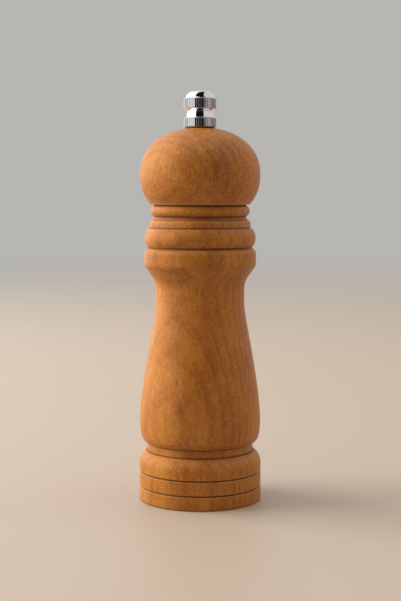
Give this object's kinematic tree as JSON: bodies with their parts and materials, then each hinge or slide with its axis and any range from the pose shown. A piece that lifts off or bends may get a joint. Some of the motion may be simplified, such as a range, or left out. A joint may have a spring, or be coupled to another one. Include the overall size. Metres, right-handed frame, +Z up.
{
  "type": "pepper mill",
  "caption": "Turned wooden pepper mill with a ball head, ringed collar, waisted barrel and grooved foot, a knurled chrome knob on top, and a ceramic grinder inside.",
  "frame": {"origin": "centre of the foot, on the surface that the mill stands on", "axes": "+Z up along the turning axis, from the foot to the knob; +X through one housing screw and square to one face of the shaft"},
  "size_m": [0.0494, 0.0494, 0.1652],
  "materials": {
    "honey_wood": "satin honey-stained close-grained wood",
    "chrome": "polished chrome plating",
    "dark_nylon": "matt dark nylon",
    "black_plastic": "moulded black plastic",
    "shaft_steel": "drawn steel rod",
    "zinc_steel": "zinc-plated steel",
    "spring_steel": "oiled spring steel",
    "drive_aluminium": "stamped aluminium",
    "bush_brass": "turned brass",
    "white_ceramic": "fired off-white ceramic",
    "pale_nylon": "natural nylon"
  },
  "bodies": {
    "body": {"barrel": "honey_wood", "grinder_housing": "black_plastic", "housing_screws": "zinc_steel", "outer_burr": "white_ceramic", "burr_retainer": "spring_steel", "guide_bridge": "zinc_steel", "guide_bush": "bush_brass", "spring": "spring_steel"},
    "thrust_washer": {"thrust_washer": "pale_nylon"},
    "spindle": {"shaft": "shaft_steel", "rotor_hub": "black_plastic", "inner_burr": "white_ceramic", "retaining_washer": "zinc_steel", "retaining_clip": "spring_steel"},
    "slip_washer": {"slip_washer": "dark_nylon"},
    "head": {"head": "honey_wood", "drive_plate": "drive_aluminium", "drive_plate_screws": "zinc_steel"},
    "knob_washer": {"knob_washer": "dark_nylon"},
    "knob": {"knob": "chrome"}
  },
  "joints": [
    {"name": "head_turn", "type": "hinge", "parent": "body", "child": "slip_washer", "pos_m": [0, 0, 0.1194], "axis": [0, 0, 1], "continuous": true},
    {"name": "head_lift", "type": "slide", "parent": "slip_washer", "child": "head", "axis": [0, 0, 1], "range_m": [0, 0.06]},
    {"name": "knob_lift", "type": "slide", "parent": "head", "child": "knob_washer", "axis": [0, 0, 1], "range_m": [0, 0.014]},
    {"name": "knob_turn", "type": "hinge", "parent": "knob_washer", "child": "knob", "pos_m": [0, 0, 0.15], "axis": [0, 0, 1], "range_deg": [-540, 0]},
    {"name": "grind_adjust", "type": "slide", "parent": "body", "child": "thrust_washer", "axis": [0, 0, 1], "range_m": [0, 0.0012], "deforming": ["spring"]},
    {"name": "spindle_turn", "type": "hinge", "parent": "thrust_washer", "child": "spindle", "pos_m": [0, 0, 0.02], "axis": [0, 0, 1], "continuous": true}
  ],
  "couplings": [
    {"joint": "spindle_turn", "follows": "head_turn", "ratio": 1},
    {"joint": "grind_adjust", "follows": "knob_turn", "m_per_rad": -0.00012732}
  ]
}
